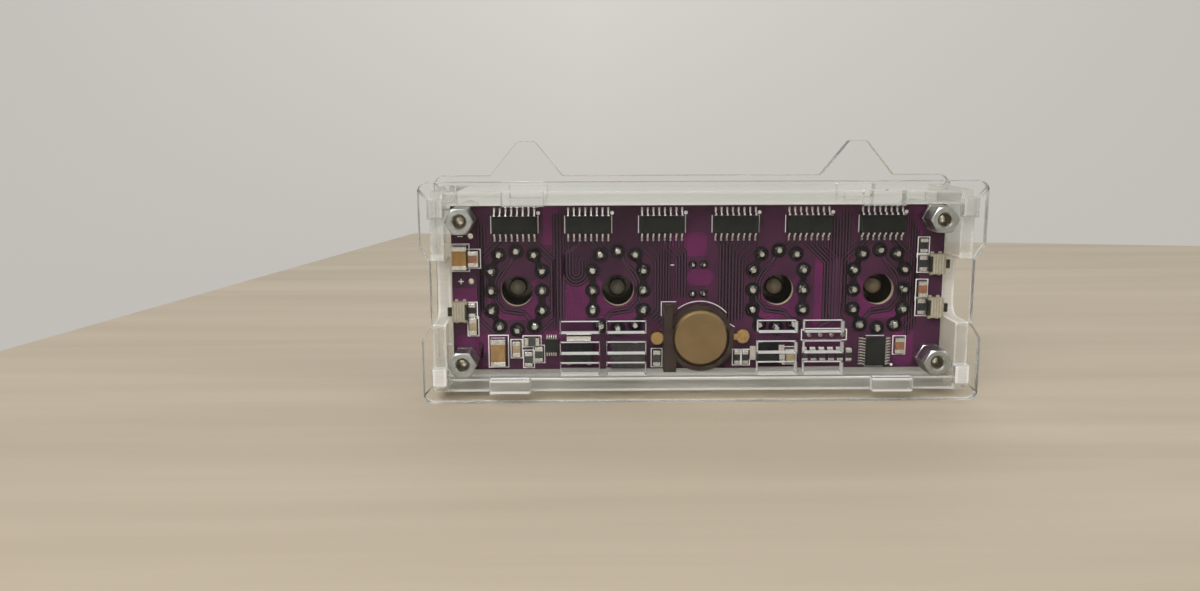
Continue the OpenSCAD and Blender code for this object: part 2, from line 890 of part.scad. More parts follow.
module front_standoffs() {
    color([0.72, 0.73, 0.73])
        for (p = screw_spots)
            on_front(p.x, -p.y)
                difference() {
                    union() {
                        linear_extrude(front_gap) hex(hex_af);
                        translate([0, 0, -stud_l]) cylinder(h = stud_l + 1, d = thread_d);
                    }
                    translate([0, 0, front_gap - standoff_bore_l]) cylinder(h = standoff_bore_l + 1, d = bore_d);
                }
}

module front_screws() {
    color([0.72, 0.73, 0.73])
        for (p = screw_spots)
            on_front(p.x, -p.y)
                translate([0, 0, front_gap + panel_t])
                    difference() {
                        union() {
                            cylinder(h = screw_head_t, d = screw_head_d);
                            translate([0, 0, -panel_t - screw_l]) cylinder(h = panel_t + screw_l + 1, d = thread_d);
                        }
                        translate([0, 0, screw_head_t - screw_socket_t])
                            linear_extrude(screw_socket_t + 1) hex(screw_socket_af);
                    }
}

back_panel();
front_panel();
top_plate();
bottom_plate();
left_plate();
right_plate();
circuit_board();
solder_joints();
for (i = TUBES) tube_glass(i);
for (i = TUBES) cathode_stack(i);
for (i = TUBES) anode_mesh(i);
for (i = TUBES) tube_pins(i);
colon_lamp(lamp_upper_z);  // colon_lamp_upper
colon_lamp(lamp_lower_z);  // colon_lamp_lower
colon_lamp_leads();
for (i = DRIVERS) driver_ic(i);
microcontroller();
boost_controller();
power_transistor();
power_inductor();
rectifier_diode();
filter_capacitor();
input_capacitor();
ceramic_capacitors();
chip_resistors();
cell_holder();
cell_contacts();
coin_cell();
set_switch();
up_switch();
down_switch();
set_button();
up_button();
down_button();
front_screws();
front_standoffs();
board_nuts();
rear_standoffs();
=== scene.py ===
"""Looks for the nixie tube clock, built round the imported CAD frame."""

import math
import random

import bmesh
import bpy
from mathutils import Matrix, Vector


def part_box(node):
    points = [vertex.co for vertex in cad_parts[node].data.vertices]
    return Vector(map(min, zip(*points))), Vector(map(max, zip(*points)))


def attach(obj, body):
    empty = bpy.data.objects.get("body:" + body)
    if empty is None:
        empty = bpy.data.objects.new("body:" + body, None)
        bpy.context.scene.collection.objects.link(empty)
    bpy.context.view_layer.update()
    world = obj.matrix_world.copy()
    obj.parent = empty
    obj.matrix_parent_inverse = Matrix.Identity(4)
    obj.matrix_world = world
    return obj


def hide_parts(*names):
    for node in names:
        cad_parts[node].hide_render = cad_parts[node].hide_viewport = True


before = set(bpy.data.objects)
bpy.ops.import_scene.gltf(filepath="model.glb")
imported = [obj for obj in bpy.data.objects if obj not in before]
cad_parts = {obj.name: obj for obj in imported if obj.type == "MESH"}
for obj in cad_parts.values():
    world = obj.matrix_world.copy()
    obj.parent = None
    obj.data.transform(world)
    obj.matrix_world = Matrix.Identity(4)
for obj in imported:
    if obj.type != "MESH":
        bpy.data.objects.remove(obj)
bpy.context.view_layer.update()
scene = bpy.context.scene
MM = 0.001
WELD = 0.002 * MM  # points closer than this are one point
CLOCK = "clock"
SQUARE_ON = 0.9  # a surface that faces an axis by more than this looks along it

# ---- Camera: place, angles and focal length fitted to the photograph ----

PHOTO_W, PHOTO_H = 1200, 591
FOCAL_PX = 1030.7
SENSOR_MM = 36
EYE = Vector((-25.13, -236.21, 61.03)) * MM
YAW, PITCH, ROLL = (math.radians(v) for v in (0.792, 9.705, -0.174))


def camera_axes():
    ahead = Vector(
        (math.sin(YAW) * math.cos(PITCH), math.cos(YAW) * math.cos(PITCH), -math.sin(PITCH))
    )
    flat = Vector((math.cos(YAW), -math.sin(YAW), 0))
    up = flat.cross(ahead)
    right = flat * math.cos(ROLL) + up * math.sin(ROLL)
    return right, up * math.cos(ROLL) - flat * math.sin(ROLL), ahead


RIGHT, UP, AHEAD = camera_axes()
camera_data = bpy.data.cameras.new("camera")
camera = bpy.data.objects.new("camera", camera_data)
scene.collection.objects.link(camera)
scene.camera = camera
camera_data.sensor_width = SENSOR_MM
camera_data.lens = SENSOR_MM * FOCAL_PX / PHOTO_W
camera_data.clip_start, camera_data.clip_end = 0.01, 20
camera.matrix_world = Matrix(
    [[RIGHT[i], UP[i], -AHEAD[i], EYE[i]] for i in range(3)] + [[0, 0, 0, 1]]
)
scene.view_settings.view_transform = "Standard"


def on_table(px, py):
    """The point of the table that the photograph shows at a pixel."""
    across, below = (px - PHOTO_W / 2) / FOCAL_PX, (py - PHOTO_H / 2) / FOCAL_PX
    ray = AHEAD + RIGHT * across - UP * below
    return EYE - ray * (EYE.z / ray.z)


# ---- Node helpers ----


class Tree:
    """A node tree with short calls: each returns the new node's first output."""

    def __init__(self, tree):
        self.tree = tree
        tree.nodes.clear()

    def node(self, kind, inputs=(), **settings):
        n = self.tree.nodes.new("ShaderNode" + kind)
        for k, v in settings.items():
            setattr(n, k, v)
        for k, v in dict(inputs).items():
            if isinstance(v, bpy.types.NodeSocket):
                self.tree.links.new(v, n.inputs[k])
            else:
                n.inputs[k].default_value = v
        return n

    def math(self, operation, a, b=0.0, clamp=False):
        return self.node("Math", {0: a, 1: b}, operation=operation, use_clamp=clamp).outputs[0]

    def mix(self, factor, a, b):
        rgba = [v if isinstance(v, bpy.types.NodeSocket) else (*v, 1) for v in (a, b)]
        n = self.node("Mix", {0: factor, 6: rgba[0], 7: rgba[1]}, data_type="RGBA")
        return n.outputs[2]

    def blend(self, factor, a, b):
        return self.node("Mix", {0: factor, 2: a, 3: b}, data_type="FLOAT").outputs[0]

    def ramp(self, value, low, high, to_low=0.0, to_high=1.0):
        return self.node(
            "MapRange", {0: value, 1: low, 2: high, 3: to_low, 4: to_high}
        ).outputs[0]

    def place(self):
        return self.node("TexCoord").outputs["Object"]

    def part(self, vector, axis):
        return self.node("SeparateXYZ", {0: vector}).outputs[axis]

    def at(self, axis):
        """The point's coordinate along an axis, in metres."""
        return self.part(self.place(), axis)

    def tilt(self, axis):
        """The part of the surface's normal along an axis, from -1 to 1."""
        return self.part(self.node("TexCoord").outputs["Normal"], axis)

    def facing(self, axis):
        """1 where the surface looks along an axis, either way, and 0 where it runs along it."""
        return self.math("ABSOLUTE", self.tilt(axis))

    def noise(self, scale, detail=3.0, stretch=(1, 1, 1), rough=0.55):
        """Noise in millimetres: scale is how many features there are in one."""
        spread = self.node("Mapping", {0: self.place(), 3: [s * 1000 * scale for s in stretch]})
        look = {"Vector": spread.outputs[0], "Scale": 1.0, "Detail": detail, "Roughness": rough}
        return self.node("TexNoise", look).outputs[0]

    def patches(self, scale, **more):
        """Soft patches between 0 and 1."""
        return self.ramp(self.noise(scale, **more), 0.35, 0.65)

    def varied(self, fine, low, high):
        """A value that a fine noise takes from low to high."""
        return self.ramp(fine, 0.3, 0.7, low, high)

    def bump(self, height, strength, depth_mm):
        return self.node(
            "Bump", {"Height": height, "Strength": strength, "Distance": depth_mm * MM}
        ).outputs[0]

    def principled(self, **sockets):
        names = {
            "color": "Base Color", "rough": "Roughness", "metal": "Metallic", "ior": "IOR",
            "clear": "Transmission Weight", "normal": "Normal", "coat": "Coat Weight",
            "coat_rough": "Coat Roughness", "specular": "Specular IOR Level",
            "tint": "Specular Tint",
        }
        given = {}
        for k, v in sockets.items():
            given[names[k]] = (*v, 1) if isinstance(v, tuple) and len(v) == 3 else v
        return self.node("BsdfPrincipled", given).outputs[0]

    def out(self, shader):
        self.node("OutputMaterial", {0: shader})

    def out_lit_through(self, shader, filter_color):
        """The output of a shader that lets light through to what it would shade."""
        passing = self.node("BsdfTransparent", {0: (*filter_color, 1)}).outputs[0]
        shadow = self.node("LightPath").outputs["Is Shadow Ray"]
        self.out(self.node("MixShader", {0: shadow, 1: shader, 2: passing}).outputs[0])


def material(name):
    m = bpy.data.materials.new(name)
    m.use_nodes = True
    return m, Tree(m.node_tree)


def solid(
    name, color, other, rough, scale=1.5, grain=0.1, grain_scale=12, metal=0.0, specular=0.2,
    depth=0.05, **more,
):
    """A plain moulded, painted or metal finish: two colours in soft patches, and a fine grain."""
    m, t = material(name)
    patches = t.patches(scale)
    fine = t.noise(grain_scale, detail=2)
    t.out(
        t.principled(
            color=t.mix(patches, color, other),
            rough=t.varied(fine, rough * 0.85, min(1, rough * 1.2)),
            metal=metal,
            specular=0.5 if metal else specular,
            normal=t.bump(fine, grain, depth),
            **more,
        )
    )
    return m


def past(t, axis, centre_mm, half_mm):
    """1 where a point is further than half_mm from centre_mm along an axis."""
    along = t.at(axis)
    away = t.math("ABSOLUTE", t.math("SUBTRACT", along, centre_mm * MM))
    return t.math("GREATER_THAN", away, half_mm * MM)


def paint(material_, *nodes):
    for n in nodes:
        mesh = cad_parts[n].data
        mesh.materials.clear()
        mesh.materials.append(material_)


def soften(width_mm, *nodes, segments=2, angle=35):
    """Rounds a CAD node's edges with modifiers, which leave its own mesh alone."""
    for n in nodes:
        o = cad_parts[n]
        weld = o.modifiers.new("weld", "WELD")
        weld.merge_threshold = WELD
        bevel = o.modifiers.new("bevel", "BEVEL")
        bevel.width = width_mm * MM
        bevel.segments = segments
        bevel.limit_method = "ANGLE"
        bevel.angle_limit = math.radians(angle)
        bevel.use_clamp_overlap = True
        bevel.harden_normals = False


# ---- Places on the board, in millimetres from its middle ----

board_lo, board_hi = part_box("circuit_board")
MID_Z = (board_lo.z + board_hi.z) / 2 / MM
REAR_Y, FRONT_Y = board_lo.y / MM, board_hi.y / MM
HALF_W = (board_hi.x - board_lo.x) / 2 / MM
TUBE_COUNT, DRIVER_COUNT = 4, 6


def numbered(stem, count):
    return [f"{stem}_{i}" for i in range(1, count + 1)]


def middle(node):
    lo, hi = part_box(node)
    return (lo + hi) / 2 / MM


def islands(node):
    """The box of each separate solid of a CAD node, in millimetres from the board's middle."""
    bm = bmesh.new()
    bm.from_mesh(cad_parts[node].data)
    bmesh.ops.remove_doubles(bm, verts=bm.verts, dist=WELD)
    todo, found = set(bm.verts), []
    while todo:
        stack, group = [todo.pop()], []
        while stack:
            v = stack.pop()
            group.append(v.co / MM)
            for e in v.link_edges:
                w = e.other_vert(v)
                if w in todo:
                    todo.remove(w)
                    stack.append(w)
        low = [min(c[i] for c in group) for i in range(3)]
        high = [max(c[i] for c in group) for i in range(3)]
        found.append((low[0], high[0], low[2] - MID_Z, high[2] - MID_Z, low[1], high[1]))
    bm.free()
    return sorted(found)


def spot(box):
    """The middle of an island's box on the board."""
    return (box[0] + box[1]) / 2, (box[2] + box[3]) / 2


TUBE_X = [middle(n).x for n in numbered("tube_glass", TUBE_COUNT)]
TUBE_Z = middle("tube_glass_1").z - MID_Z
PIN_SPOTS = [spot(b) for n in numbered("tube_pins", TUBE_COUNT) for b in islands(n)]
LAMP_SPOTS = [spot(b) for b in islands("colon_lamp_leads")]
DRIVERS = [(middle(n).x, middle(n).z - MID_Z) for n in numbered("driver_ic", DRIVER_COUNT)]

REAR, FRONT = -1, 1
LINE_W, FRAME_W = 0.16, 0.2
SHARPEST_MITRE = 0.35  # keeps a sharp corner's outer point short


class Drawing:
    """Thin raised shapes on one face of the board, drawn in x and z and joined into one piece."""

    def __init__(self, name, lift, surface, slot=None, face=REAR):
        self.name, self.lift, self.surface, self.slot, self.face = name, lift, surface, slot, face
        self.bm = bmesh.new()

    def prism(self, points, lift=None, sink=0.01):
        """A closed flat prism over an outline."""
        y0 = REAR_Y if self.face == REAR else FRONT_Y
        top = y0 + self.face * (self.lift if lift is None else lift)
        low = y0 - self.face * sink
        upper = [self.bm.verts.new((x * MM, top * MM, (z + MID_Z) * MM)) for x, z in points]
        lower = [self.bm.verts.new((x * MM, low * MM, (z + MID_Z) * MM)) for x, z in points]
        self.bm.faces.new(upper)
        self.bm.faces.new(lower[::-1])
        n = len(points)
        for i in range(n):
            j = (i + 1) % n
            self.bm.faces.new((upper[i], lower[i], lower[j], upper[j]))

    def rect(self, x0, z0, x1, z1, lift=None):
        self.prism([(x0, z0), (x1, z0), (x1, z1), (x0, z1)], lift)

    def disc(self, x, z, r, sides=20, lift=None):
        turn = 2 * math.pi / sides
        self.prism(
            [(x + r * math.cos(i * turn), z + r * math.sin(i * turn)) for i in range(sides)], lift
        )

    def ribbon(self, points, width, lift=None):
        """A strip of even width along a line with mitred corners, one closed prism a stretch."""
        pts = [Vector(p) for p in points]
        sides = []
        for i, p in enumerate(pts):
            before = (p - pts[i - 1]).normalized() if i else None
            after = (pts[i + 1] - p).normalized() if i + 1 < len(pts) else None
            along = ((before or after) + (after or before)).normalized()
            across = Vector((-along.y, along.x))
            leg = after or before
            mitre = abs(across.dot(Vector((-leg.y, leg.x))))
            reach = width / 2 / max(SHARPEST_MITRE, mitre)
            sides.append((p + across * reach, p - across * reach))
        for (a, b), (c, d) in zip(sides, sides[1:]):
            self.prism([tuple(v) for v in (b, d, c, a)], lift)

    def frame(self, x0, z0, x1, z1):
        h = FRAME_W / 2
        for z in (z0, z1):
            self.rect(x0 - h, z - h, x1 + h, z + h)
        for x in (x0, x1):
            self.rect(x - h, z0 + h, x + h, z1 - h)

    def arc(self, x, z, r, start, stop, steps=24):
        angles = [math.radians(start + (stop - start) * i / steps) for i in range(steps + 1)]
        self.ribbon([(x + r * math.cos(a), z + r * math.sin(a)) for a in angles], LINE_W)

    def build(self):
        return finished(self.name, self.bm, self.surface)


def finished(name, bm, surface, body=CLOCK, smooth=False):
    """Turns a bmesh into a piece that rides on a body, its faces turned outward."""
    bmesh.ops.recalc_face_normals(bm, faces=bm.faces)
    mesh = bpy.data.meshes.new(name)
    bm.to_mesh(mesh)
    bm.free()
    if smooth:
        mesh.shade_smooth()
    mesh.materials.append(surface)
    piece = bpy.data.objects.new(name, mesh)
    scene.collection.objects.link(piece)
    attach(piece, body)
    return piece


# ---- Clear plates ----

ACRYLIC_IOR, GLASS_IOR = 1.49, 1.5
PLATES_X = ("left_plate", "right_plate")
PLATES_Z = ("top_plate", "bottom_plate")
PANELS = ("back_panel", "front_panel")
OPENINGS_HALF_W, OPENINGS_LOW, OPENINGS_TOP = 55, 1, 40
PLATE_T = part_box("top_plate")[1].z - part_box("top_plate")[0].z
REAR_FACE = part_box("back_panel")[0].y
CASE_Z = (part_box("top_plate")[1].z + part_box("bottom_plate")[0].z) / 2


def cut_edge(t, axis=1):
    """1 on the cut edges of a plate that is thin along an axis, and the marks across them."""
    stretch = [1.0, 1.0, 1.0]
    stretch[axis] = 0.06
    return t.math("LESS_THAN", t.facing(axis), SQUARE_ON), t.noise(6, detail=2, stretch=stretch)


def every(t, *masks):
    """1 where every mask is 1."""
    result = masks[0]
    for mask in masks[1:]:
        result = t.math("MULTIPLY", result, mask)
    return result


def acrylic(name):
    """Clear panel: polished faces, clear cut edges round the outside, and matt ones inside the
    openings, which are straight and lie away from the panel's ends, its feet and the table."""
    m, t = material(name)
    edge, marks = cut_edge(t)
    haze = t.noise(0.05, detail=2)
    square = t.math("GREATER_THAN", t.math("MAXIMUM", t.facing(0), t.facing(2)), 0.95)
    inside = t.math("LESS_THAN", t.math("ABSOLUTE", t.at(0)), OPENINGS_HALF_W * MM)
    below_feet = t.math("LESS_THAN", t.at(2), OPENINGS_TOP * MM)
    above_table = t.math("GREATER_THAN", t.at(2), OPENINGS_LOW * MM)
    matt = every(t, edge, square, every(t, inside, below_feet, above_table))
    rough = t.blend(edge, t.ramp(haze, 0.4, 0.7, 0.0, 0.03), t.varied(marks, 0.12, 0.3))
    plain = t.mix(edge, (0.985, 0.99, 0.98), (0.76, 0.76, 0.74))
    plastic = t.principled(
        color=t.mix(matt, plain, (0.8, 0.8, 0.79)),
        clear=t.blend(matt, t.blend(edge, 1.0, 0.8), 0.35),
        ior=ACRYLIC_IOR, rough=t.blend(matt, rough, 0.45), tint=(0.18, 0.18, 0.18),
        normal=t.bump(marks, t.math("MULTIPLY", edge, 0.3), 0.05),
    )
    t.out_lit_through(plastic, (0.9, 0.9, 0.88))
    return m


def clear_sheet(name, axis, middle_at, ends, returns, mist, glint, window_highlight=0.0):
    """Clear plates between the panels, which they touch: see-through faces that shine at a low
    angle, and cut edges with painted highlights along their arrises. The pair lies at middle_at[1]
    either side of middle_at[0]. The low tabs' ends and all cut edges (mist) are as matt as given.
    The edges that face left or down (returns), the lower arrises (glint) and the rear edges beside
    the finger windows (worn) get painted highlights as strong as given."""
    m, t = material(name)
    edge, marks = cut_edge(t, axis)
    shine = t.node("Fresnel", {"IOR": ACRYLIC_IOR}).outputs[0]
    face = t.math("ADD", t.math("MULTIPLY", shine, 0.5), 0.004)
    away = t.math("ABSOLUTE", t.math("SUBTRACT", t.at(axis), middle_at[0]))
    away = t.math("ABSOLUTE", t.math("SUBTRACT", away, middle_at[1]))
    # painted highlight: a bright band along each face of the cut edges, stronger on the lower
    # plates by glint
    arris_highlight = t.ramp(away, PLATE_T / 2 - 0.7 * MM, PLATE_T / 2 - 0.3 * MM)
    low = t.math("LESS_THAN", t.at(2), CASE_Z)
    arris_highlight = t.math("MULTIPLY", arris_highlight, t.blend(low, 0.15, glint))
    # rim: the matt frost of the cut edges together with their painted highlights
    rim = t.math("ADD", t.varied(marks, mist * 0.5, mist), arris_highlight)
    end = t.math("LESS_THAN", t.at(1), REAR_FACE + 0.3 * MM)
    rim = t.math("ADD", rim, t.math("MULTIPLY", end, t.blend(low, 0.04, ends)))
    # painted highlight: cut edges within about 8 mm of the case's middle height are lit up
    if window_highlight:
        beside = t.math("ABSOLUTE", t.math("SUBTRACT", t.at(2), CASE_Z + 0.5 * MM))
        rim = t.math("ADD", rim, t.ramp(beside, 8.4 * MM, 7.8 * MM, 0.0, window_highlight))
    # painted highlight: cut edges that face left on the level plates or down on the side plates are
    # lit up by returns
    turned = t.math("LESS_THAN", t.tilt(2 if axis == 0 else 0), -0.5)
    rim = t.math("ADD", rim, t.math("MULTIPLY", turned, returns), clamp=True)
    lit = t.principled(
        color=(0.84, 0.82, 0.79), rough=t.blend(edge, 0.05, 0.35),
        normal=t.bump(marks, t.math("MULTIPLY", edge, 0.4), 0.05),
    )
    shadow = t.node("LightPath").outputs["Is Shadow Ray"]
    cast = t.math("MULTIPLY", shadow, t.blend(edge, t.blend(low, 0.4, 0.9), 1.0))
    tint = t.mix(cast, (0.97, 0.975, 0.965), (0.3, 0.29, 0.27))
    passing = t.node("BsdfTransparent", {0: tint}).outputs[0]
    t.out(t.node("MixShader", {0: t.blend(edge, face, rim), 1: passing, 2: lit}).outputs[0])
    return m


side_mid = (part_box("right_plate")[0].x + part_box("right_plate")[1].x) / 2
top_mid = (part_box("top_plate")[0].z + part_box("top_plate")[1].z) / 2
# returns, glint and worn are strengths of painted highlights on the cut edges; ends and mist are
# matt frost
side_sheet = clear_sheet(
    "clear_acrylic_side", 0, (0.0, side_mid),
    ends=0.5, returns=0.5, mist=0.16, glint=0.25, window_highlight=0.3,
)
level_sheet = clear_sheet(
    "clear_acrylic_level", 2, (CASE_Z, top_mid - CASE_Z),
    ends=0.06, returns=0.15, mist=0.05, glint=0.7,
)
paint(acrylic("clear_acrylic_panel"), *PANELS)
paint(side_sheet, *PLATES_X)
paint(level_sheet, *PLATES_Z)
soften(0.14, *PANELS, *PLATES_Z, *PLATES_X, segments=1)


# ---- Tubes and lamps ----


def glass(name, tint, streaks, tip_y=None):
    """Clear glass. A tube's is thick and brownish where its rear end, at tip_y, was sealed off,
    with painted shade round the tip's rim, and dull behind."""
    m, t = material(name)
    swirl = t.noise(0.12, detail=2, stretch=(1, 0.3, 1))
    look = {"color": tint, "clear": 1.0, "rough": 0.0}
    if tip_y is not None:
        y = t.at(1)
        sealed = t.ramp(y, tip_y + 3.1 * MM, tip_y + 2.4 * MM)
        rear = t.math("LESS_THAN", y, tip_y + 5 * MM)
        facing = t.node("LayerWeight", {"Blend": 0.5}).outputs["Facing"]
        soot = t.mix(t.ramp(t.noise(0.06), 0.4, 0.6), (0.19, 0.145, 0.09), (0.11, 0.1, 0.08))
        # painted shade: the tip's colour goes near black towards its rim, where the dome turns from
        # view
        tip_rim_shaded = t.mix(t.ramp(facing, 0.25, 0.6), soot, (0.012, 0.011, 0.009))
        look = {
            "color": t.mix(sealed, tint, tip_rim_shaded), "clear": t.blend(sealed, 1.0, 0.25),
            "rough": t.blend(sealed, 0.0, 0.12),
            "tint": t.mix(rear, (1.0, 1.0, 1.0), (0.4, 0.38, 0.34)),
        }
    body = t.principled(ior=GLASS_IOR, normal=t.bump(swirl, streaks, 0.4), **look)
    t.out_lit_through(body, (0.9, 0.9, 0.9))
    return m


def electrode_finish():
    """Dull nickel digits, and painted shade at the rear of the stack, which goes near black there.
    """
    m, t = material("electrode_metal")
    rear_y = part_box("cathode_stack_1")[0].y
    # painted shade: near black and unmetallic at the rear end of the stack
    rear = t.ramp(t.at(1), rear_y + 3 * MM, rear_y + 1 * MM)
    fine = t.noise(12, detail=2)
    wash = t.mix(t.patches(0.6), (0.34, 0.3, 0.25), (0.2, 0.175, 0.15))
    t.out(
        t.principled(
            color=t.mix(rear, wash, (0.006, 0.005, 0.005)), metal=t.blend(rear, 1.0, 0.0),
            rough=t.varied(fine, 0.35, 0.5), normal=t.bump(fine, 0.1, 0.05), specular=0.1,
        )
    )
    return m


tube_glass = glass("tube_glass", (0.97, 0.97, 0.95), 0.25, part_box("tube_glass_1")[0].y)
lamp_glass = glass("lamp_glass", (0.97, 0.96, 0.93), 0.15)
mesh_metal = solid("anode_mesh_metal", (0.2, 0.2, 0.2), (0.12, 0.12, 0.12), 0.5, metal=1.0)
pin_metal = solid("pin_metal", (0.72, 0.72, 0.7), (0.55, 0.55, 0.53), 0.22, metal=1.0)
paint(tube_glass, *numbered("tube_glass", TUBE_COUNT))
paint(lamp_glass, "colon_lamp_upper", "colon_lamp_lower")
paint(electrode_finish(), *numbered("cathode_stack", TUBE_COUNT))
paint(mesh_metal, *numbered("anode_mesh", TUBE_COUNT))
paint(pin_metal, "colon_lamp_leads", *numbered("tube_pins", TUBE_COUNT))

# ---- Board ----

PURPLE, PURPLE_DEEP = (0.062, 0.018, 0.045), (0.034, 0.012, 0.027)
POUR, POUR_DEEP = (0.105, 0.017, 0.07), (0.07, 0.014, 0.052)
GROUND = (0.006, 0.0055, 0.007)


def solder_mask(name, color, other, rough=0.28):
    m, t = material(name)
    wash = t.patches(0.08, detail=2)
    fine = t.noise(5, detail=3)
    t.out(
        t.principled(
            color=t.mix(wash, color, other), rough=t.varied(fine, rough, rough + 0.14),
            normal=t.bump(fine, 0.12, 0.03), specular=0.1,
        )
    )
    return m


def board_finish():
    """Solder mask on both faces, bare laminate on the edges and in the holes."""
    m, t = material("solder_mask")
    face = t.math("GREATER_THAN", t.facing(1), SQUARE_ON)
    wash = t.patches(0.08, detail=2)
    fine = t.noise(5, detail=3)
    layers = t.ramp(t.noise(4, detail=2, stretch=(0.2, 3, 0.2)), 0.4, 0.6)
    laminate = t.mix(layers, (0.3, 0.26, 0.17), (0.45, 0.4, 0.28))
    t.out(
        t.principled(
            color=t.mix(face, laminate, t.mix(wash, PURPLE, PURPLE_DEEP)),
            rough=t.blend(face, 0.6, t.varied(fine, 0.3, 0.42)),
            normal=t.bump(fine, 0.12, 0.03), specular=0.1,
        )
    )
    return m


paint(board_finish(), "circuit_board")
bare = solder_mask("mask_over_laminate", GROUND, (0.013, 0.009, 0.012), 0.34)
track_mask = solder_mask("mask_over_copper", (0.07, 0.03, 0.056), (0.052, 0.023, 0.043), 0.26)
pour_mask = solder_mask("mask_over_pour", POUR, POUR_DEEP, 0.24)
ink = solid("legend_ink", (0.8, 0.8, 0.78), (0.62, 0.62, 0.6), 0.6, scale=3, grain_scale=8)
zinc = solid(
    "plated_steel", (0.5, 0.52, 0.52), (0.38, 0.4, 0.4), 0.3, scale=0.6, grain=0.2, metal=1.0
)
gilt = solid(
    "gilt_thread", (0.74, 0.7, 0.62), (0.5, 0.46, 0.38), 0.3, scale=2, grain=0.1, metal=1.0
)
tin = solid("solder_tin", (0.8, 0.8, 0.79), (0.6, 0.6, 0.6), 0.2, scale=2, grain=0.4, metal=1.0)
crinkled = solid(
    "solder_joint", (0.52, 0.53, 0.52), (0.13, 0.135, 0.135), 0.24,
    scale=1.1, grain=1.0, grain_scale=1.3, metal=1.0, depth=0.35,
)

pours = Drawing("copper_pours", 0.006, pour_mask, "solder_mask")
gaps = Drawing("track_gaps", 0.014, bare, "solder_mask")
tracks = Drawing("tracks", 0.03, track_mask, "solder_mask")
legend = Drawing("board_legend", 0.045, ink)

TRACK_W, TRACK_GAP, CLOSE_GAP, FRONT_TRACK_W = 0.28, 0.24, 0.2, 0.25
LEADS, LEAD_PITCH = 8, 1.27
LEAD_Z = DRIVERS[0][1] - 2.9  # where the drivers' lower leads meet their tracks


def route(points, gap=TRACK_GAP):
    """A track with the bare strip on both sides of it."""
    gaps.ribbon(points, TRACK_W + 2 * gap)
    tracks.ribbon(points, TRACK_W)


def lead_x(i, k):
    """The place of lead k of driver i, both from 0."""
    return DRIVERS[i][0] + (k - (LEADS - 1) / 2) * LEAD_PITCH


def route_down(lead, z0, b, *rest):
    """A track from a lead down to z0, aslant to x = b, and on through the rest."""
    route([(lead, LEAD_Z), (lead, z0), (b, z0 - abs(b - lead)), *rest])


def ring_routes(i, driver):
    """Tracks from a driver's leads round a tube's ring of pins."""
    x, z = TUBE_X[i], TUBE_Z
    for s, first in ((-1, 0), (1, LEADS - 1)):
        out, out2 = x + s * 8.5, x + s * 7.75
        route_down(
            lead_x(driver, first), LEAD_Z - 0.7, out,
            (out, z - 6.2), (x + s * 5.4, z - 9.4), (x + s * 3.9, z - 9.4), (x + s * 3.9, z - 8.1),
        )
        lead = lead_x(driver, first - s)
        if abs(out2 - lead) < 5:
            route_down(
                lead, LEAD_Z - 0.7, out2,
                (out2, z - 4.4), (out2 - s * 0.8, z - 5.2), (x + s * 5.66, z - 4.5),
            )
    down = LEAD_Z - 0.5
    for k, (dx, dz) in ((2, (-3.9, 8.1)), (3, (0, 8.9)), (4, (0, 8.9)), (5, (3.9, 8.1))):
        a, b = lead_x(driver, k), x + dx
        if abs(b - a) < 4:
            route([(a, LEAD_Z), (a, down), (b, max(down - abs(b - a), z + dz)), (b, z + dz)])


ring_routes(0, 0)
ring_routes(3, 5)
# two tracks that bow round each hole, by turns on its left and its right
for i, x in enumerate(TUBE_X):
    z, side = TUBE_Z, 1 if i % 2 else -1
    for n, bow in enumerate((4.1, 4.8)):
        route([
            (x + side * 1.0 * n, z + 8.6), (x + side * 1.2, z + 6.4 + n * 0.5),
            (x + side * bow * 0.8, z + bow * 0.85), (x + side * bow, z + 2),
            (x + side * bow, z - 2.2), (x + side * (bow - 2), z - bow),
            (x - side * 1.5, z - bow - 0.6), (x - side * 3.9, z - 7.6),
        ])
# bundles between the rings
for n in range(6):
    b, z = -9.6 + 0.62 * n, LEAD_Z - 0.6 - 0.35 * (5 - n)
    route_down(lead_x(2, n), z, b, (b, -4.6 - 0.55 * n), (b - 1.6, -6.2 - 0.55 * n))
for n in range(4):
    b = -4.9 + 0.66 * n
    route_down(lead_x(2, 4 + n), LEAD_Z - 2.4, b, (b, -1.4 - 0.3 * n))
for n in range(LEADS):
    b, z = 4.9 + 0.72 * n, LEAD_Z - 0.6 - 0.3 * n
    route_down(lead_x(3, n), z, b, (b, -8.6 + 0.2 * n))
for n in range(3):
    b = 17.9 + 1.8 * n
    route_down(lead_x(4, n), LEAD_Z - 0.8, b, (b, 7.4))
for n in range(3, LEADS):
    b, z = 26.2 + 0.72 * n, LEAD_Z - 0.6 - 0.3 * n
    route_down(lead_x(4, n), z, b, (b, -9.4 + 0.3 * n), (b - 1.4, -10.8 + 0.3 * n))
for n in range(7):
    b = 32.3 + 0.68 * n if n < 3 else 29.6 + 0.68 * (n - 3)
    route([(b, 17.6 - 0.4 * n), (b, 8.5), (b, -3.5 - n * 0.9)], CLOSE_GAP)
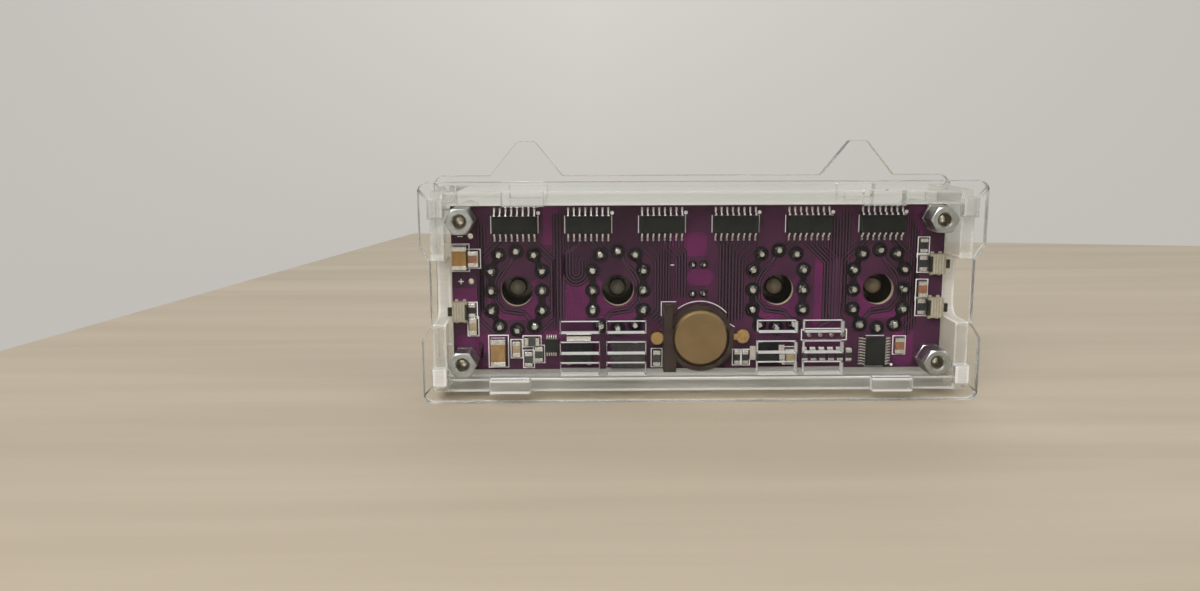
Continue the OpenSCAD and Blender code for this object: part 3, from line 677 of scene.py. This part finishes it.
# folded runs between the two left tubes
BEND_X, BEND_Z = -27.3, 3.6
half_turn = [math.pi - math.pi * k / 8 for k in range(9)]
for n in range(4):
    w, left_z = 0.7 + 0.72 * n, 8.4 - 0.3 * n
    lead = lead_x(1, 3 - n)
    start = left_z + abs(lead - (BEND_X - w))
    route([
        (lead, LEAD_Z), (lead, start if start < LEAD_Z else LEAD_Z - 0.3), (BEND_X - w, left_z),
        *((BEND_X + w * math.cos(a), BEND_Z - w * math.sin(a)) for a in half_turn),
        (BEND_X + w, 6.4), (BEND_X + w + 1.2, 7.6 + 0.2 * n),
    ])
for n in range(5):
    lead, z = lead_x(1, 3 + n), LEAD_Z - 0.6 - 0.25 * n
    b = TUBE_X[1] - 4.4 + 1.6 * n
    route([(lead, LEAD_Z), (lead, z), (b, max(z - abs(b - lead), 7.2)), (b, 7.0)])
for n in range(4):
    b = -32.2 + 0.7 * n
    route([(b, 16.8), (b, 6.2 - n), (b, -8.8 + n * 0.6)], CLOSE_GAP)
# short runs at the board's ends
for n in range(3):
    z = -15.1 - 0.75 * n
    route([(-49.4, z + 3), (-48.6, z + 2.2), (-48.6, z), (-47.4, z)], CLOSE_GAP)
for n in range(3):
    x = -49.0 + 0.7 * n
    route([(x, 15.5 - n), (x, 9), (x, -6 + n)], CLOSE_GAP)
for n in range(4):
    x = 47.2 + 0.62 * n
    route([(x, 16 - n), (x, 4), (x, -12 + n)], CLOSE_GAP)

# clearance rings round the plated holes, joined along each side of a tube's oval
for x, z in PIN_SPOTS:
    gaps.disc(x, z, 1.75, sides=28, lift=0.036)
for x, z in LAMP_SPOTS:
    gaps.disc(x, z, 1.0, lift=0.036)
for i, x in enumerate(TUBE_X):
    for s in (-1, 1):
        near = sorted((p for p in PIN_SPOTS if 0 < s * (p[0] - x) < 8), key=lambda p: p[1])
        for a, b in zip(near, near[1:]):
            if (i + s + near.index(a)) % 3:
                gaps.ribbon((a, b), 1.5, lift=0.034)

# copper pours under the mask, where the board is brightest: round the holes and between them
HOLE_R, POUR_HALF_W, POUR_HALF_H = 3.75, 4.5, 6.6


def box_reach(angle):
    """The distance from a hole's middle to the box that its pour fills."""
    c, s = (max(0.01, abs(v)) for v in (math.cos(angle), math.sin(angle)))
    return min(POUR_HALF_W / c, POUR_HALF_H / s)


spread = [math.radians(a) for a in range(150, 391, 12)]
for x in TUBE_X:
    for a, b in zip(spread, spread[1:]):
        rim = ((HOLE_R, a), (box_reach(a), a), (box_reach(b), b), (HOLE_R, b))
        pours.prism([(x + r * math.cos(v), TUBE_Z + r * math.sin(v)) for r, v in rim])
for x0, z0, x1, z1, cut in (
    (-30.9, -7.2, -24.4, 2.4, 1.2), (-6.0, 7.2, 1.9, 12.4, 0.8), (-2.4, 0.6, 3.4, 4.2, 1.0),
    (26.2, -9.2, 31.0, 8.6, 0.6), (-54.8, -3.6, -46.4, 0.2, 0.3), (-54.6, -17.8, -43.8, -10.4, 1.0),
    (-36.0, -11.4, -30.4, -9.6, 0.3), (-34.6, 9.8, -31.2, 18.3, 0.3), (46.6, 9.4, 50.0, 18.2, 0.3),
    (44.6, -18.0, 49.0, -9.0, 0.8),
):
    pours.prism([
        (x0 + cut, z0), (x1 - cut, z0), (x1, z0 + cut), (x1, z1 - cut),
        (x1 - cut, z1), (x0 + cut, z1), (x0, z1 - cut), (x0, z0 + cut),
    ])

# ---- Legend ----

# a bar at each end of a driver and a dot beside its first lead
for x, z in DRIVERS:
    for s in (-1, 1):
        legend.rect(x + s * 5.22 - 0.09, z - 1.95, x + s * 5.22 + 0.09, z + 1.95)
    legend.disc(x + 5.3, z + 2.55, 0.42)
SMALL = islands("ceramic_capacitors") + islands("chip_resistors")
FRAME_GAP = 0.42


def stands_unframed(box):
    """Whether a small part is in the close row between the coin cell and the microcontroller."""
    return box[0] > 20 and box[1] < 40 and box[3] - box[2] < 2.6 and box[2] < -14


for b in SMALL:
    if not stands_unframed(b):
        legend.frame(b[0] - FRAME_GAP, b[2] - FRAME_GAP, b[1] + FRAME_GAP, b[3] + FRAME_GAP)
for node, more in (("filter_capacitor", 0.5), ("input_capacitor", 0.62)):
    b = islands(node)[0]
    left, taller = max(b[0] - more, -HALF_W + 0.15), more * 1.1
    legend.frame(left, b[2] - taller, b[1] + more, b[3] + taller)
# the coin cell's outline, where it shows past the holder
coin = middle("coin_cell")
coin_z = coin.z - MID_Z
legend.arc(coin.x, coin_z, 8.05, 42, 128)
legend.ribbon([(-8.2, -6.4), (-8.2, -3.15), (-4.9, -3.15)], LINE_W)
legend.ribbon([(7.1, -8.2), (8.4, -9.0)], LINE_W)
# bars over and under the microcontroller, the dot of its first lead, and the programming pads
micro = middle("microcontroller")
micro_z = micro.z - MID_Z
for s in (-1, 1):
    legend.rect(micro.x - 2.1, micro_z + s * 3.55 - 0.08, micro.x + 2.1, micro_z + s * 3.55 + 0.08)
legend.disc(micro.x + 4.0, micro_z - 3.2, 0.3)
legend.frame(23.6, -12.1, 33.8, -9.7)
# polarity marks at the supply pads
for x, z, plus in ((-53.0, 11.8, False), (-53.0, 1.7, True)):
    legend.rect(x - 0.6, z - 0.09, x + 0.6, z + 0.09)
    if plus:
        legend.rect(x - 0.09, z - 0.6, x + 0.09, z + 0.6)
# short strokes beside the colon lamps' leads and the right-hand buttons
legend.rect(-6.2, 5.1, -5.4, 5.26)
for z in (6.6, -3.2):
    legend.rect(48.9, z, 49.06, z + 1)

# front face: tracks along the edges, the upper ones turned down beside the lamps, and a pad at
# each pin
front = Drawing("front_tracks", 0.03, pour_mask, "solder_mask", face=FRONT)
pads = Drawing("front_pads", 0.04, tin, "solder", face=FRONT)
marks = Drawing("front_legend", 0.045, ink, face=FRONT)
for k in range(5):
    z, b = 17.4 - 0.55 * k, 2.9 + 0.6 * k
    for s in (-1, 1):
        front.ribbon([
            (s * (50 - 3 * k), z), (s * (b + 1.2), z), (s * b, z - 1.2),
            (s * b, k - 14.0), (s * (b + 2), k - 16.0),
        ], FRONT_TRACK_W)
        front.ribbon([(s * (48 - 3 * k), -z), (s * (b + 6), -z)], FRONT_TRACK_W)
for x, z in PIN_SPOTS:
    pads.disc(x, z, 0.95)
for x, z in LAMP_SPOTS:
    pads.disc(x, z, 0.65)
for z in sorted({round(p[1], 3) for p in LAMP_SPOTS}):
    marks.arc(0, z, 2.35, 0, 360, steps=36)
for x in TUBE_X:
    for s in (-1, 1):
        marks.ribbon([(x + s * 10.9, TUBE_Z - 6), (x + s * 10.9, TUBE_Z + 6)], LINE_W)

for drawing in (front, pads, marks, pours, gaps, tracks, legend):
    drawing.build()

# ---- Solder and metal ends ----


def on_rear(bm, x, z, h):
    """A new vertex at a height above the board's rear face."""
    return bm.verts.new((x * MM, (REAR_Y - h) * MM, (z + MID_Z) * MM))


def skin(bm, rows):
    """Faces between each ring of vertices and the next."""
    for a, b in zip(rows, rows[1:]):
        for k in range(len(a)):
            j = (k + 1) % len(a)
            bm.faces.new((a[k], a[j], b[j], b[k]))


def lathe(bm, x, z, profile, sides=20, tilt=(0, 0), wobble=0.0, draw=random.Random(0)):
    """A turned form on the rear face. The profile is [(radius, height above the board)]."""
    rows = []
    for r, h in profile:
        row = []
        for k in range(sides):
            a = 2 * math.pi * k / sides
            rr = r * (1 + wobble * draw.uniform(-1, 1))
            row.append(on_rear(
                bm, x + rr * math.cos(a) + tilt[0] * h, z + rr * math.sin(a) + tilt[1] * h, h
            ))
        rows.append(row)
    skin(bm, rows)
    bm.faces.new(rows[0][::-1])
    bm.faces.new(rows[-1])


def leaning(draw, most):
    """A random lean, as the sideways steps in x and z for each step up."""
    return draw.uniform(-most, most), draw.uniform(-most, most)


draw = random.Random(7)
bm = bmesh.new()
for x, z in PIN_SPOTS:
    h = draw.uniform(0.95, 1.2)
    cone = [
        (1.05, 0), (1.04, 0.08), (0.95, 0.3), (0.78, 0.55 * h), (0.6, 0.85 * h), (0.42, h),
        (0.15, h + 0.05),
    ]
    lathe(bm, x, z, cone, tilt=leaning(draw, 0.2), wobble=0.13, draw=draw)
cone = [(0.75, 0), (0.72, 0.06), (0.5, 0.3), (0.38, 0.8), (0.25, 0.95)]
for x, z in LAMP_SPOTS:
    lathe(bm, x, z, cone, tilt=leaning(draw, 0.15), wobble=0.05, draw=draw)
fillets = finished("solder_fillets", bm, crinkled, smooth=True)
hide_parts("solder_joints")


def box_at(bm, x0, x1, z0, z1, low, high, taper=0.0, side=0):
    """A block on the rear face from height low to high. With taper, its top edge on one side
    (0 +X, 1 +Z, 2 -X, 3 -Z) is drawn in by that much, for a solder fillet."""
    def ring(x0, x1, z0, z1, h):
        return [on_rear(bm, x, z, h) for x, z in ((x0, z0), (x1, z0), (x1, z1), (x0, z1))]

    top = [x0, x1, z0, z1]
    if taper:
        k = (1, 3, 0, 2)[side]
        top[k] += taper * (-1 if side < 2 else 1)
    a, b = ring(x0, x1, z0, z1, low), ring(*top, high)
    skin(bm, (a, b))
    bm.faces.new(a[::-1])
    bm.faces.new(b)


def end_caps(bm, part, share, proud=0.03, reach=0.45):
    """Metal ends and solder fillets on a part with its ends along its longer side."""
    x0, x1, z0, z1 = part[:4]
    high = REAR_Y - part[4]
    upright = z1 - z0 > x1 - x0
    (a0, a1), (c0, c1) = ((z0, z1), (x0, x1)) if upright else ((x0, x1), (z0, z1))
    outward = (3, 1) if upright else (2, 0)
    length = (a1 - a0) * share

    def block(along, across, top, **fillet):
        box_at(bm, *(across + along if upright else along + across), 0, top, **fillet)

    for s in (0, 1):
        along = (a1 - length, a1 + proud) if s else (a0 - proud, a0 + length)
        block(along, (c0 - proud, c1 + proud), high + proud)
        along = (a1, a1 + reach) if s else (a0 - reach, a0)
        block(along, (c0, c1), high * 0.75, taper=reach * 0.9, side=outward[s])


bm = bmesh.new()
for part in SMALL:
    end_caps(bm, part, 0.24)
for node in ("filter_capacitor", "input_capacitor"):
    end_caps(bm, islands(node)[0], 0.17, reach=0.35)
caps = finished("metal_ends", bm, tin)
bevel = caps.modifiers.new("bevel", "BEVEL")
bevel.width, bevel.segments = 0.08 * MM, 2

# switches: a ribbed cover with lugs at its corners, and a near-black slab on its board side,
# painted shade for the dark gap there
FIRST_RIB, RIB_STEP, RIB_HALF_W = 0.85, 0.62, 0.13
bm, dark = bmesh.new(), bmesh.new()
for node, out in (("set_switch", -1), ("up_switch", 1), ("down_switch", 1)):
    x0, x1, z0, z1, rear = islands(node)[0][:5]
    high = REAR_Y - rear
    near, far = (x1, x0) if out < 0 else (x0, x1)
    a, b = sorted((near, near + out * 0.5))
    # painted shade: a near-black slab over the switch's board-side face
    box_at(dark, a - 0.02, b, z0 + 0.5, z1 - 0.5, 0, high + 0.03)
    for k in range(4):
        rib = near + out * (FIRST_RIB + RIB_STEP * k)
        if x0 + 0.1 < rib < x1 - 0.1:
            a, b = rib - RIB_HALF_W, rib + RIB_HALF_W
            box_at(bm, a, b, z0 + 0.15, z1 - 0.15, high - 0.1, high + 0.1)
    for z, s in ((z1, 1), (z0, -1)):
        for x in (near + out * 0.7, far - out * 0.9):
            a, b = sorted((z - s * 0.1, z + s * 0.42))
            box_at(bm, x - 0.32, x + 0.32, a, b, 0, 0.45)
cover = solid("switch_cover", (0.4, 0.36, 0.28), (0.32, 0.285, 0.22), 0.42, scale=1.5)
finished("switch_covers", bm, cover)
gap_shade = solid("switch_gap_shade", (0.02, 0.018, 0.016), (0.012, 0.011, 0.01), 0.5)
finished("switch_gap_shades", dark, gap_shade)

# contact feet of the cell: a round foot on its pad, and the neck that runs under the cell
bm = bmesh.new()
for x0, x1, z0, z1, rear, _ in islands("cell_contacts"):
    out = -1 if x0 < 0 else 1
    foot_r = (z1 - z0) / 2 - 0.02
    cz, cx = (z0 + z1) / 2, (x0 + foot_r + 0.02) if out < 0 else (x1 - foot_r - 0.02)
    high = REAR_Y - rear
    foot = [
        (foot_r, 0.0), (foot_r, high * 0.8), (foot_r * 0.9, high - 0.03),
        (foot_r * 0.1, high - 0.02),
    ]
    lathe(bm, cx, cz, foot, sides=28)
    a, b = sorted((cx - out * foot_r * 0.7, x1 if out < 0 else x0))
    box_at(bm, a, b, cz - foot_r * 0.42, cz + foot_r * 0.42, 0, high - 0.05)
brass = solid("gilt_contact", (0.6, 0.42, 0.19), (0.48, 0.32, 0.14), 0.25, metal=1.0)
feet = finished("contact_feet", bm, brass)
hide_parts("cell_contacts")

# pads and fillets at the drivers' and the small chips' leads
bm = bmesh.new()
MICRO_LEADS, MICRO_PITCH = 10, 0.65
# inner and outer end from the driver's middle, half width, height, and taper of the top edge
LEAD_PAD, LEAD_FILLET = (2.45, 3.75, 0.21, 0.06, 0.0), (2.98, 3.45, 0.19, 0.3, 0.4)
for i, (_, z) in enumerate(DRIVERS):
    for k in range(LEADS):
        lx = lead_x(i, k)
        for s, outward in ((-1, 3), (1, 1)):
            for inner, outer, half, high, taper in (LEAD_PAD, LEAD_FILLET):
                a, b = sorted((z + s * inner, z + s * outer))
                box_at(bm, lx - half, lx + half, a, b, 0, high, taper, outward)
for k in range(MICRO_LEADS):
    lz = micro_z + (k - (MICRO_LEADS - 1) / 2) * MICRO_PITCH
    for s in (-1, 1):
        a, b = sorted((micro.x + s * 2.6, micro.x + s * 3.65))
        box_at(bm, a, b, lz - 0.17, lz + 0.17, 0, 0.07)
dull_tin = solid("pad_tin", (0.5, 0.51, 0.5), (0.3, 0.31, 0.31), 0.3, scale=2, grain=0.3, metal=1.0)
finished("lead_pads", bm, dull_tin)


def hex_reach(angle, flats):
    """The distance from the middle of a hexagon to its outline, corners along X."""
    return flats / 2 / math.cos((angle % (math.pi / 3)) - math.pi / 6)


def nut(bm, x, z, low, high, flats, bore, steps=72):
    """A hexagonal nut or spacer on the rear face, with both ends chamfered outside and in."""
    chamfer = math.tan(math.radians(32))
    face_r, wide = flats / 2 * 0.97, bore + 0.22
    rows = []
    for level, sign in ((low, 1), (high, -1)):
        flat, rim, inner, step = [], [], [], []
        for k in range(steps):
            a = 2 * math.pi * k / steps
            c, s = math.cos(a), math.sin(a)
            reach = hex_reach(a, flats)
            drop = (reach - face_r) * chamfer
            flat.append(on_rear(bm, x + face_r * c, z + face_r * s, level))
            rim.append(on_rear(bm, x + reach * c, z + reach * s, level + sign * drop))
            inner.append(on_rear(bm, x + wide * c, z + wide * s, level))
            step.append(on_rear(bm, x + bore * c, z + bore * s, level + sign * 0.25))
        rows.append([step, inner, flat, rim])
    chain = rows[0] + rows[1][::-1]
    skin(bm, chain + chain[:1])


HEX_FLATS = islands("board_nuts")[0][3] - islands("board_nuts")[0][2]
NUTS = [(*spot(b), REAR_Y - b[4]) for b in islands("board_nuts")]
REAR_GAP = REAR_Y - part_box("rear_standoffs")[0].y / MM
BORE_R, THREAD_R, THREAD_ROOT_R, THREAD_PITCH, THREAD_DEPTH = 1.52, 1.5, 1.22, 0.5, 3.2
for name, node, pick in (
    ("hex_nuts", "board_nuts", lambda top: (0.02, top)),
    ("hex_spacers", "rear_standoffs", lambda top: (top, REAR_GAP - 0.01)),
):
    bm = bmesh.new()
    for x, z, top in NUTS:
        low, high = pick(top)
        nut(bm, x, z, low, high, HEX_FLATS - 0.04, BORE_R)
    o = finished(name, bm, zinc)
    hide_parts(node)
# the threads seen in the spacers' rear ends: a grooved wall and the bottom of the bore
turns = [(BORE_R + 0.01, REAR_GAP - 0.3)]
h = REAR_GAP - 0.35
while h > REAR_GAP - THREAD_DEPTH:
    turns += [(THREAD_ROOT_R, h - 0.2), (THREAD_R, h - 0.45)]
    h -= THREAD_PITCH
turns += [(0.5, h - 0.1), (0.02, h - 0.3)]
ring = [math.pi * k / 12 for k in range(24)]
bm = bmesh.new()
for x, z, _ in NUTS:
    rows = [
        [on_rear(bm, x + r * math.cos(a), z + r * math.sin(a), level) for a in ring]
        for r, level in turns
    ]
    skin(bm, rows)
    bm.faces.new(rows[-1])
finished("spacer_threads", bm, gilt, smooth=True)

# ---- Stage ----

# the table top: its far edge and its left edge pass through these pixels of the photograph
far_right, corner, near_left = on_table(1200, 246), on_table(415, 233), on_table(0, 351)
along = (far_right - corner).normalized()
down = (near_left - corner).normalized()
floor_points = [corner, corner + down * 2.6, Vector((3.5, -2.5, 0)), corner + along * 4.0]
FLOOR_Z = -0.02 * MM
bm = bmesh.new()
face = bm.faces.new([bm.verts.new((p.x, p.y, FLOOR_Z)) for p in floor_points])
bmesh.ops.recalc_face_normals(bm, faces=bm.faces)
if face.normal.z < 0:
    face.normal_flip()
floor_mesh = bpy.data.meshes.new("floor")
bm.to_mesh(floor_mesh)
bm.free()
floor = bpy.data.objects.new("floor", floor_mesh)
scene.collection.objects.link(floor)
m, t = material("floor_finish")
streak = t.patches(0.03, detail=4, stretch=(0.12, 1.6, 1))
t.out(
    t.principled(
        color=t.mix(streak, (0.445, 0.37, 0.275), (0.51, 0.43, 0.325)), rough=0.55, specular=0.3,
    )
)
floor_mesh.materials.append(m)

world = bpy.data.worlds.new("studio")
scene.world = world
world.use_nodes = True
t = Tree(world.node_tree)
# straight and through glass: the pale wall; in reflections: a dim room with a bright ceiling;
# as light: a soft even sky
way = t.node("TexCoord").outputs["Generated"]
height = t.part(way, 2)
side = t.math("ABSOLUTE", t.part(way, 0))
glow = t.math("MULTIPLY", t.ramp(side, 0.55, 0.0), t.ramp(height, -0.15, 0.1))
wall = t.mix(glow, (0.535, 0.515, 0.483), (0.67, 0.648, 0.61))
room = t.mix(t.ramp(t.part(way, 1), -0.5, 0.3), (0.13, 0.125, 0.12), (0.52, 0.5, 0.468))
mirrored = t.mix(t.ramp(height, 0.25, 0.8), room, (1.0, 1.0, 0.98))
rays = t.node("LightPath").outputs
plain = t.math("MAXIMUM", rays["Is Camera Ray"], rays["Is Transmission Ray"])
shown = t.node("Background", {0: t.mix(plain, mirrored, wall), 1: 1.0}).outputs[0]
above = t.ramp(height, -0.5, 0.9, 0.3, 0.6)
lit = t.node("Background", {0: (1, 1, 1, 1), 1: above}).outputs[0]
seen = t.math("MAXIMUM", plain, rays["Is Glossy Ray"])
t.node("OutputWorld", {0: t.node("MixShader", {0: seen, 1: lit, 2: shown}).outputs[0]})


def lamp(name, place, aim, size, power):
    data = bpy.data.lights.new(name, "AREA")
    data.shape, data.size, data.energy = "DISK", size, power
    o = bpy.data.objects.new(name, data)
    scene.collection.objects.link(o)
    o.location = place
    o.rotation_mode = "QUATERNION"
    o.rotation_quaternion = (Vector(aim) - Vector(place)).to_track_quat("-Z", "Y")


lamp("key", (-0.3, -0.7, 0.6), (0, 0, 0.02), 0.7, 6.2)
lamp("side", (0.7, -0.25, 0.5), (0, 0, 0.02), 0.4, 0.9)
lamp("back", (0.1, 0.8, 0.7), (0, 0, 0.02), 0.5, 0.9)

# ---- Finishes of the carried-over parts ----


def chip(name, axis, centre, half, body=(0.0105, 0.0115, 0.0112)):
    """A moulded chip with bright leads past its body along one axis."""
    m, t = material(name)
    lead = past(t, axis, centre, half)
    fine = t.noise(9, detail=3)
    wash = t.patches(0.7)
    body_color = t.mix(wash, body, tuple(c * 1.6 for c in body))
    t.out(
        t.principled(
            color=t.mix(lead, body_color, (0.75, 0.75, 0.73)),
            metal=lead,
            rough=t.blend(lead, t.varied(fine, 0.45, 0.7), 0.25), specular=0.12,
            normal=t.bump(fine, 0.3, 0.03),
        )
    )
    return m


def ceramic_finish():
    """Fired ceramic: brown at the board's ends, dark beside the boost controller and the cell, tan
    elsewhere."""
    m, t = material("ceramic_body")
    low = t.math("GREATER_THAN", t.at(2), (MID_Z - 5) * MM)
    brown = t.math("MULTIPLY", past(t, 0, 0, 49.3), low)
    brown = t.math("MAXIMUM", brown, t.math("GREATER_THAN", t.at(0), 44 * MM))
    light = t.math("MULTIPLY", past(t, 0, -37.0, 2.15), past(t, 0, -9.2, 1.0))
    fine = t.noise(9, detail=3)
    wash = t.patches(1.2)
    t.out(
        t.principled(
            color=t.mix(light, (0.035, 0.04, 0.034), t.mix(
                brown, t.mix(wash, (0.33, 0.25, 0.15), (0.25, 0.185, 0.105)),
                t.mix(wash, (0.24, 0.105, 0.05), (0.17, 0.07, 0.032)))),
            rough=t.varied(fine, 0.35, 0.5), normal=t.bump(fine, 0.15, 0.03),
        )
    )
    return m


DRIVER_NODES = numbered("driver_ic", DRIVER_COUNT)
boost, power = middle("boost_controller"), middle("power_transistor")
diode = middle("rectifier_diode")
paint(chip("driver_finish", 2, MID_Z + DRIVERS[0][1], 1.97), *DRIVER_NODES)
paint(chip("micro_finish", 0, micro.x, 2.22), "microcontroller")
paint(chip("boost_finish", 2, boost.z, 1.52), "boost_controller")
paint(chip("transistor_finish", 2, power.z - 0.35, 2.4), "power_transistor")
paint(chip("diode_finish", 0, diode.x, 2.52), "rectifier_diode")
paint(ceramic_finish(), "ceramic_capacitors")
paint(zinc, "front_screws", "front_standoffs", "board_nuts", "rear_standoffs")
for finish, nodes in (
    (solid("ferrite", (0.03, 0.028, 0.028), (0.05, 0.045, 0.045), 0.55, grain=0.5),
     ["power_inductor"]),
    (solid("resistor_body", (0.02, 0.02, 0.022), (0.035, 0.035, 0.04), 0.35),
     ["chip_resistors"]),
    (solid("capacitor_case", (0.3, 0.165, 0.045), (0.24, 0.125, 0.035), 0.3, scale=0.8,
           coat=0.4, coat_rough=0.1),
     ["filter_capacitor"]),
    (solid("tan_case", (0.27, 0.165, 0.068), (0.22, 0.13, 0.052), 0.35, scale=0.8),
     ["input_capacitor"]),
    (solid("holder_plastic", (0.04, 0.026, 0.02), (0.026, 0.017, 0.014), 0.45, scale=0.5),
     ["cell_holder"]),
    (solid("cell_steel", (0.27, 0.185, 0.094), (0.235, 0.16, 0.08), 0.38, scale=0.25, metal=0.85),
     ["coin_cell"]),
    (solid("switch_plastic", (0.3, 0.265, 0.195), (0.24, 0.21, 0.155), 0.5, scale=1),
     ["set_switch", "up_switch", "down_switch"]),
    (solid("plunger_plastic", (0.022, 0.019, 0.011), (0.016, 0.014, 0.008), 0.45),
     ["set_button", "up_button", "down_button"]),
):
    paint(finish, *nodes)
soften(0.15, "front_screws", "front_standoffs", angle=50)
soften(0.12, *DRIVER_NODES, "input_capacitor", "filter_capacitor", "power_inductor", angle=60)
